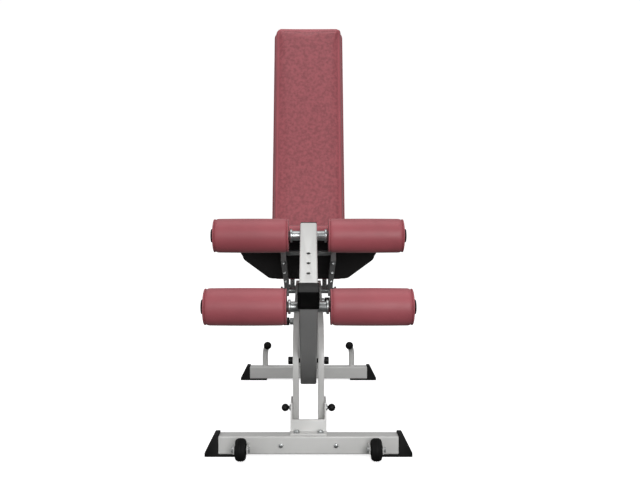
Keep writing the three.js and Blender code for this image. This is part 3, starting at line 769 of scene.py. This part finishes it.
class BENCH_OT_wheels(bpy.types.Operator):
    """Turn the transport wheels with a hub, a web and a grooved tread"""
    bl_idname = "bench.wheels"
    bl_label = "Wheels"

    def execute(self, context):
        for node in WHEELS:
            low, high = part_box(node)
            centre, radius, half = (low + high) / 2, (high.z - low.z) / 2, (high.x - low.x) / 2
            # Radius and share of the half width: hub, dished web, rim and shoulder.
            side = [(0.0047, 1.0), (0.0095, 1.0), (0.0105, 0.72), (0.0185, 0.66), (0.0196, 0.94),
                    (0.0215, 0.98), (0.0245, 0.86), (0.0268, 0.52)]
            tread = [(radius, 0.3), (radius - 0.0011, 0.24), (radius - 0.0011, 0.16), (radius, 0.1)]
            profile = [(r, h * half) for r, h in side + tread]
            profile += [(r, -x) for r, x in reversed(profile)]
            turns, count = 56, len(profile)
            verts = [(centre.x + x, centre.y + r * math.cos(a), centre.z + r * math.sin(a))
                     for a in (2 * math.pi * i / turns for i in range(turns)) for r, x in profile]
            faces = [(i * count + k, i * count + (k + 1) % count, (i + 1) % turns * count + (k + 1) % count,
                      (i + 1) % turns * count + k) for i in range(turns) for k in range(count)]
            mesh = bpy.data.meshes.new(node)
            mesh.from_pydata(verts, [], faces)
            bm = bmesh.new()
            bm.from_mesh(mesh)
            bmesh.ops.recalc_face_normals(bm, faces=bm.faces)
            bm.to_mesh(mesh)
            bm.free()
            smooth_by_angle(mesh, 34)
            wheel = new_piece(f"{node}_turned", mesh, finish_for("rubber"), BODY_OF[node])
            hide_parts(node)
        return {"FINISHED"}


class BENCH_OT_fasteners(bpy.types.Operator):
    """Set the screws that hold boards to bearers and the bolts in the frame"""
    bl_idname = "bench.fasteners"
    bl_label = "Fasteners"

    def execute(self, context):
        s = context.scene.bench_metal
        under = Vector((0, 0, -1))
        for body, rest, bars, stations in (
                ("back", BACK_REST, ("back_spine_left", "back_spine_right"), (0.12, 0.32, 0.52, 0.66)),
                ("seat", SEAT_REST, ("seat_bearer_left", "seat_bearer_right"), (-0.1, -0.2, -0.3))):
            axis = (rest.to_3x3() @ under).normalized()
            flat = rest.inverted()
            places = []
            for bar in bars:
                low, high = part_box(bar)
                x = (low.x + high.x) / 2
                bottom = min((flat @ v.co).z for v in frame["nodes"][bar].data.vertices
                             if abs((flat @ v.co).y) > 0.04)
                places += [(rest @ Vector((x, y, bottom - 0.0012)), axis) for y in stations]
            fasteners(f"{body}_board_screws", body, places, s.screw, 0.0036, s.screw * 1.3)
        low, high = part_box("front_foot")
        mid = (low.z + high.z) / 2
        places = [(Vector((x, high.y + 0.0012, mid)), Vector((0, 1, 0))) for x in (-FOOT_BOLT_X, FOOT_BOLT_X)]
        for foot, off in (("front_foot", -BRACKET_BOLT_OFF), ("rear_foot", BRACKET_BOLT_OFF)):
            low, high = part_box(foot)
            y = (low.y + high.y) / 2 + off
            places += [(Vector((x, y, low.z + BRACKET_BOLT_RISE)), Vector((0, 0, 1)))
                       for x in (-BRACKET_BOLT_X, BRACKET_BOLT_X)]
        fasteners("frame_bolts", "frame", places, 0.0062, 0.005, 0.0088)
        return {"FINISHED"}


class BENCH_OT_welds(bpy.types.Operator):
    """Run weld beads where brackets and pegs meet the feet"""
    bl_idname = "bench.welds"
    bl_label = "Welds"

    def execute(self, context):
        s = context.scene.bench_metal
        runs = []
        for peg in ("rear_peg_left", "rear_peg_right"):
            low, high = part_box("rear_foot")
            base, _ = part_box(peg)
            verts = [v.co for v in frame["nodes"][peg].data.vertices if v.co.z < base.z + 0.002]
            centre = sum(verts, Vector()) / len(verts)
            runs.append([Vector((centre.x + PEG_WELD_RADIUS * math.cos(a),
                                 centre.y + PEG_WELD_RADIUS * math.sin(a), high.z + 0.0008))
                         for a in (2 * math.pi * i / 32 for i in range(33))])
        for bracket, foot, far in (("front_bracket", "front_foot", 1), ("rear_bracket", "rear_foot", -1)):
            low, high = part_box(bracket)
            foot_low, foot_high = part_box(foot)
            y = foot_high.y if far > 0 else foot_low.y
            runs.append([Vector((x, y + far * 0.0006, foot_high.z - 0.0004)) for x in (low.x, 0.0, high.x)])
        tree = beads_tree("weld_ripples", finish_for("white_paint"))
        sizes = {"Pitch": s.bead * 0.7, "Long": s.bead * 0.8, "Wide": s.bead, "High": s.bead * 0.7}
        mesh = run_tree(tree, poly_curve(runs, False), sizes)
        new_piece("frame_weld_beads", mesh, finish_for("white_paint"), "frame")
        return {"FINISHED"}


def area_light(name, place, target, size, power):
    light = bpy.data.lights.new(name, "AREA")
    light.shape, light.size, light.energy = "SQUARE", size, power
    made = bpy.data.objects.new(name, light)
    made.location = place
    made.rotation_euler = (Vector(target) - Vector(place)).to_track_quat("-Z", "Y").to_euler()
    bpy.context.scene.collection.objects.link(made)


class BENCH_OT_stage(bpy.types.Operator):
    """Lay the floor, hang the lights and set the camera"""
    bl_idname = "bench.stage"
    bl_label = "Stage"

    def sweep_mesh(self, radius, height):
        """A floor that curves up into a wall all the way round."""
        curve = 2.0
        profile = [(radius * i / 8, 0.0) for i in range(1, 9)]
        profile += [(radius + curve * math.sin(a), curve * (1 - math.cos(a)))
                    for a in (math.pi / 2 * i / 8 for i in range(1, 9))]
        profile += [(radius + curve, height)]
        turns, count = 64, len(profile)
        verts = [(0, 0, 0)] + [(r * math.cos(a), r * math.sin(a), z)
                               for a in (2 * math.pi * i / turns for i in range(turns)) for r, z in profile]
        faces = [(0, 1 + i * count, 1 + (i + 1) % turns * count) for i in range(turns)]
        faces += [(1 + i * count + k, 2 + i * count + k, 2 + (i + 1) % turns * count + k,
                   1 + (i + 1) % turns * count + k) for i in range(turns) for k in range(count - 1)]
        mesh = bpy.data.meshes.new("studio_sweep")
        mesh.from_pydata(verts, [], faces)
        mesh.polygons.foreach_set("use_smooth", [True] * len(mesh.polygons))
        return mesh

    def ambient(self, context):
        """Soft light from above that fades to little from below."""
        s = context.scene.bench_stage
        world = bpy.data.worlds.new("soft_studio")
        world.use_nodes = True
        tree = world.node_tree
        way = add_node(tree, "ShaderNodeTexCoord")
        parts = add_node(tree, "ShaderNodeSeparateXYZ", links={"Vector": (way, "Generated")})
        level = add_node(tree, "ShaderNodeMapRange", values={"From Min": -0.35, "From Max": 0.35,
                                                             "To Min": s.from_below, "To Max": s.from_above},
                         links={"Value": (parts, "Z")})
        tree.nodes["Background"].inputs["Color"].default_value = (1, 1, 1, 1)
        tree.links.new(level.outputs["Result"], tree.nodes["Background"].inputs["Strength"])
        context.scene.world = world

    def execute(self, context):
        s = context.scene.bench_stage
        # Matt painted board, lit from within so that it stays pale whatever the lights do.
        made, tree, shader, coords = new_material(
            "pale_studio_sweep", {"Roughness": 0.9, "Emission Strength": s.glow})
        base = linear(s.floor)
        tone = shaded_noise(tree, coords, 0.5, scaled(base, 0.99), base)
        tree.links.new(tone.outputs["Color"], shader.inputs["Base Color"])
        shader.inputs["Emission Color"].default_value = base
        sweep = bpy.data.objects.new("studio_sweep", self.sweep_mesh(s.sweep_radius, s.sweep_height))
        sweep.data.materials.append(made)
        context.scene.collection.objects.link(sweep)
        # The sweep is only what stands behind the bench: it throws no light back onto it.
        sweep.visible_diffuse = sweep.visible_glossy = sweep.visible_shadow = False
        self.ambient(context)
        context.scene.view_settings.view_transform = "Standard"
        area_light("front_key", (0.7, -3.3, 1.05), (0, 0, 0.5), 1.3, s.key)
        area_light("front_fill", (-1.6, -2.8, 0.8), (0, 0, 0.6), 1.6, s.key * 0.25)
        area_light("overhead", (0, -0.4, 3.4), (0, 0, 0.4), 2.0, s.overhead)
        foot_low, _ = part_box("front_foot")
        camera = bpy.data.cameras.new("eye")
        camera.lens, camera.sensor_width = s.lens, 36.0
        camera.shift_x, camera.shift_y = 0.018, -0.003
        eye = bpy.data.objects.new("eye", camera)
        eye.location = (0.0, foot_low.y - s.stand_off, s.eye_height)
        eye.rotation_euler = (math.pi / 2, 0, 0)
        context.scene.collection.objects.link(eye)
        context.scene.camera = eye
        return {"FINISHED"}


OPERATORS = (
    BENCH_OT_back_pad, BENCH_OT_seat_pad, BENCH_OT_rollers, BENCH_OT_metalwork, BENCH_OT_wheels,
    BENCH_OT_fasteners, BENCH_OT_welds, BENCH_OT_stage,
)


class BENCH_PT_panel(bpy.types.Panel):
    """Sizes, colours and makers of the weight bench"""
    bl_idname = "BENCH_PT_panel"
    bl_label = "Weight bench"
    bl_space_type = "VIEW_3D"
    bl_region_type = "UI"
    bl_category = "Bench"

    def draw(self, context):
        for group in (context.scene.bench_upholstery, context.scene.bench_metal, context.scene.bench_stage):
            box = self.layout.box()
            for name in group.__annotations__:
                box.prop(group, name)
        for operator in OPERATORS:
            self.layout.operator(operator.bl_idname)


GROUPS = {"bench_upholstery": UpholsterySettings, "bench_metal": MetalSettings, "bench_stage": StageSettings}
CLASSES = (*GROUPS.values(), *OPERATORS, BENCH_PT_panel)


def register():
    for cls in CLASSES:
        bpy.utils.register_class(cls)
    for name, group in GROUPS.items():
        setattr(bpy.types.Scene, name, bpy.props.PointerProperty(type=group))


def unregister():
    for name in GROUPS:
        delattr(bpy.types.Scene, name)
    for cls in reversed(CLASSES):
        bpy.utils.unregister_class(cls)


def main():
    register()
    for operator in OPERATORS:
        name = operator.bl_idname.split(".")[1]
        getattr(bpy.ops.bench, name)()


if __name__ == "__main__":
    main()
